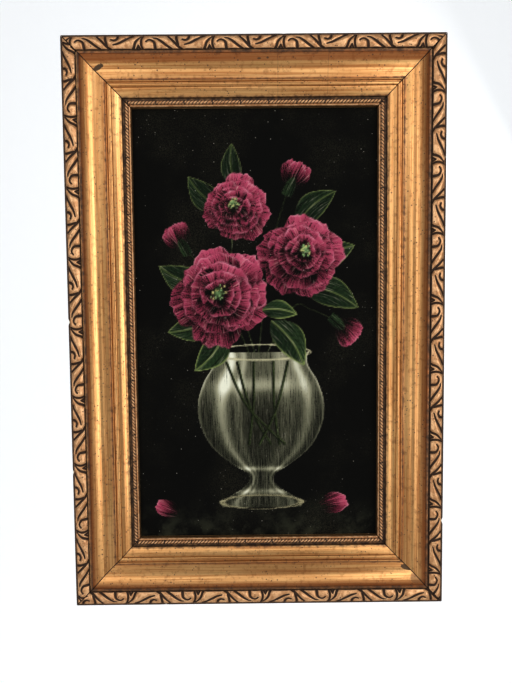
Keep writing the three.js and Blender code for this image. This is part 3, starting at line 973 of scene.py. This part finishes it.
def painted_finish():
    """Oil paint on black cloth, thin enough for the weave to show, and the cloth's bare back."""
    finish = Finish("oil_on_black_cloth")
    mix = finish.mix
    place = finish.place()
    cover, back = map(finish.attribute, ["cover", "bare_back"])
    tone = finish.attribute("tone", "Color")
    grain = finish.attribute("grain", "Vector")
    streak = finish.streaks(grain, (44, 640, 560), 4, 0.66)
    broad = finish.streaks(grain, (26, 260, 300), 2, 0.5)
    tooth = finish.noise(place, 1050, 2, 0.5)
    weave = finish.wave(place, 260, "X")
    weft = finish.wave(place, 260, "Z")
    level = cover + (weave + weft - 1) * 0.2 + (streak - 0.5) * 1.5
    level = level + (broad - 0.5) * 0.7 + (tooth - 0.5) * 0.9
    laid = level.ramp(0.42, 0.68) * cover.ramp(0.02, 0.12)
    cloud = finish.noise(place, 9, 4, 0.6)
    dust = cloud.ramp(0.42, 0.72) * tooth.ramp(0.4, 0.65) * 0.16
    ground = mix(dust, paint(25, 25, 23), paint(124, 120, 96))
    low = finish.split(place, 2).ramp(-0.47, -0.525) * finish.noise(place, 45, 4, 0.7).ramp(0.4, 0.7)
    ground = mix(low * 0.3, ground, paint(110, 112, 92))
    fine_lint = finish.specks(place, 170, 0.1) * cloud.ramp(0.4, 0.62) * 0.5
    lint = finish.specks(place, 95, 0.058).at_least(fine_lint)
    colour = mix(laid, ground, tone)
    bright = (streak - 0.5) * 1.6
    colour = mix((bright * laid).ramp(0.05, 0.5) * 0.35, colour, paint(236, 226, 206))
    colour = mix(lint * 0.75, colour, paint(200, 196, 184))

    # The back of the cloth, with painted shade of the corner folds: a little darker where a fold lies and
    # darkest along its edge
    raw = mix(weave * weft, paint(92, 84, 75), paint(62, 56, 50))
    from_side = (finish.split(place, 0) - middle_x * MM).absolute() - canvas_width / 2 * MM
    from_end = (finish.split(place, 2) - middle_z * MM).absolute() - canvas_height / 2 * MM
    turned_over = from_side.at_least(from_end).ramp(-0.5 * MM - flap_width * MM, 0.5 * MM - flap_width * MM)
    lapped = from_side - from_end + (tooth - 0.5) * 0.001
    raw = mix(turned_over * lapped.ramp(-0.0002, 0.0003) * 0.25, raw, paint(52, 47, 42))
    raw = mix(turned_over * lapped.near(0, 0.0007) * 0.8, raw, paint(26, 24, 22))
    colour = mix(back, colour, raw)
    height = laid * (0.5 + streak * 0.8) + (weave + weft) * 0.2
    return finish.shade(
        Base_Color=colour, Roughness=0.82 - laid * 0.22, Specular_IOR_Level=0.08,
        Normal=finish.bump(height, 0.0002, 0.5))


def bar_wood(name, upright):
    """Bare softwood with its grain along the bar."""
    finish = Finish(name)
    place = finish.place()
    scale = (420, 300, 12) if upright else (12, 300, 420)
    grain = finish.streaks(place, scale, 5, 0.62)
    rings = finish.streaks(place, tuple(axis * 0.2 for axis in scale), 3, 0.5)
    wood = finish.mix(grain.ramp(0.35, 0.7), paint(214, 184, 136), paint(176, 138, 90))
    wood = finish.mix(rings.ramp(0.5, 0.75) * 0.5, wood, paint(140, 104, 64))
    return finish.shade(
        Base_Color=wood, Roughness=0.66 + grain * 0.2,
        Normal=finish.bump(grain, 0.0002, 0.5))


def worn_metal(name, bright, dull, roughness, tarnish):
    """Metal with cloudy patches of tarnish."""
    finish = Finish(name)
    place = finish.place()
    cloudy = finish.noise(place, 160, 4, 0.6)
    fine = finish.noise(place, 1400, 2, 0.6)
    share = cloudy.ramp(0.4, 0.65) * tarnish
    colour = finish.mix(share, paint(*bright), paint(*dull))
    return finish.shade(
        Base_Color=colour, Metallic=0.95 - share * 0.5, Roughness=roughness + share * 0.3,
        Normal=finish.bump(fine, 0.0001, 0.4))


# The pieces. The bars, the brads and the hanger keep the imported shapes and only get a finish.
gilt = antique_gilt()
for name in SIDES:
    rail_mesh(name, gilt)
painted_cloth(painted_finish())
level_wood, upright_wood = bar_wood("level_bar_wood", False), bar_wood("upright_bar_wood", True)
brass = worn_metal("worn_brass", (196, 160, 92), (112, 82, 44), 0.32, 0.8)
steel = worn_metal("dull_steel", (170, 168, 164), (84, 70, 60), 0.36, 0.7)
packed_finishes = dict(stretcher_top=level_wood, stretcher_bottom=level_wood, stretcher_left=upright_wood,
                       stretcher_right=upright_wood, hanger_plate=brass)
for name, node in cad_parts.items():
    if not name.startswith(("rail", "painted")):
        node.material_slots[0].material = packed_finishes.get(name, steel)


# The room: a pale floor and a pale wall far behind, soft lights, and the camera, in metres
ROOM_SIZE = 9.0
FLOOR_LEVEL = -2.3
WALL_BEHIND = 1.9


def plain_sheet(name, matrix, colour, glow):
    """A wide, plain, faintly glowing square of the room, which isn't part of the picture."""
    bm = bmesh.new()
    bmesh.ops.create_grid(bm, x_segments=1, y_segments=1, size=ROOM_SIZE / 2, matrix=matrix)
    mesh = bpy.data.meshes.new(name)
    bm.to_mesh(mesh)
    bm.free()
    mesh.materials.append(Finish(f"{name}_finish").shade(
        Base_Color=colour, Roughness=0.9, Emission_Color=paint(255, 255, 255), Emission_Strength=glow))
    piece = linked(name, mesh)


plain_sheet("floor", Matrix.Translation((0, 0, FLOOR_LEVEL)), paint(226, 227, 226), 0.22)
plain_sheet("far_wall", Matrix.Translation((0, WALL_BEHIND, 0)) @ STAND_UP, paint(238, 239, 240), 0.30)

world = bpy.data.worlds.new("room")
bpy.context.scene.world = world
world.use_nodes = True
sky = world.node_tree.nodes["Background"].inputs
sky["Color"].default_value = (0.82, 0.85, 0.88, 1.0)
sky["Strength"].default_value = 0.43


def soft_light(name, place, size, power, colour=(1, 1, 1)):
    """A soft rectangular light that faces the frame's middle."""
    lamp = bpy.data.lights.new(name, "AREA")
    lamp.shape = "RECTANGLE"
    lamp.size, lamp.size_y = size
    lamp.energy = power
    lamp.color = colour
    holder = linked(name, lamp)
    holder.location = place
    aim = Vector((middle_x * MM, 0, middle_z * MM)) - Vector(place)
    holder.rotation_euler = aim.to_track_quat("-Z", "Y").to_euler()


soft_light("main_light", (0.85, -1.3, -0.15), (0.8, 1.8), 9.4, (1.0, 0.98, 0.96))
soft_light("high_light", (0.0, -1.3, 0.46), (1.3, 0.85), 2.3)
soft_light("left_light", (-0.8, -1.3, -0.2), (0.6, 1.8), 5.0)
soft_light("back_light", (1.6, 1.2, 0.5), (1.0, 1.0), 16.0)

# The camera, placed from the photo's perspective. Its focal length is 600 of the photo's 683 rows.
camera = linked("camera", bpy.data.cameras.new("camera"))
camera.data.sensor_width = 36.0
camera.data.lens = 600 / 683 * camera.data.sensor_width
camera.location = (-0.0030, -0.6825, -0.2556)
camera.rotation_euler = (radians(86.350), radians(0.547), radians(-0.215))
bpy.context.scene.camera = camera

# A plain view with deep darks, as the photo has
view = bpy.context.scene.view_settings
view.view_transform = "Standard"
view.gamma = 0.7
view.exposure = 0.33
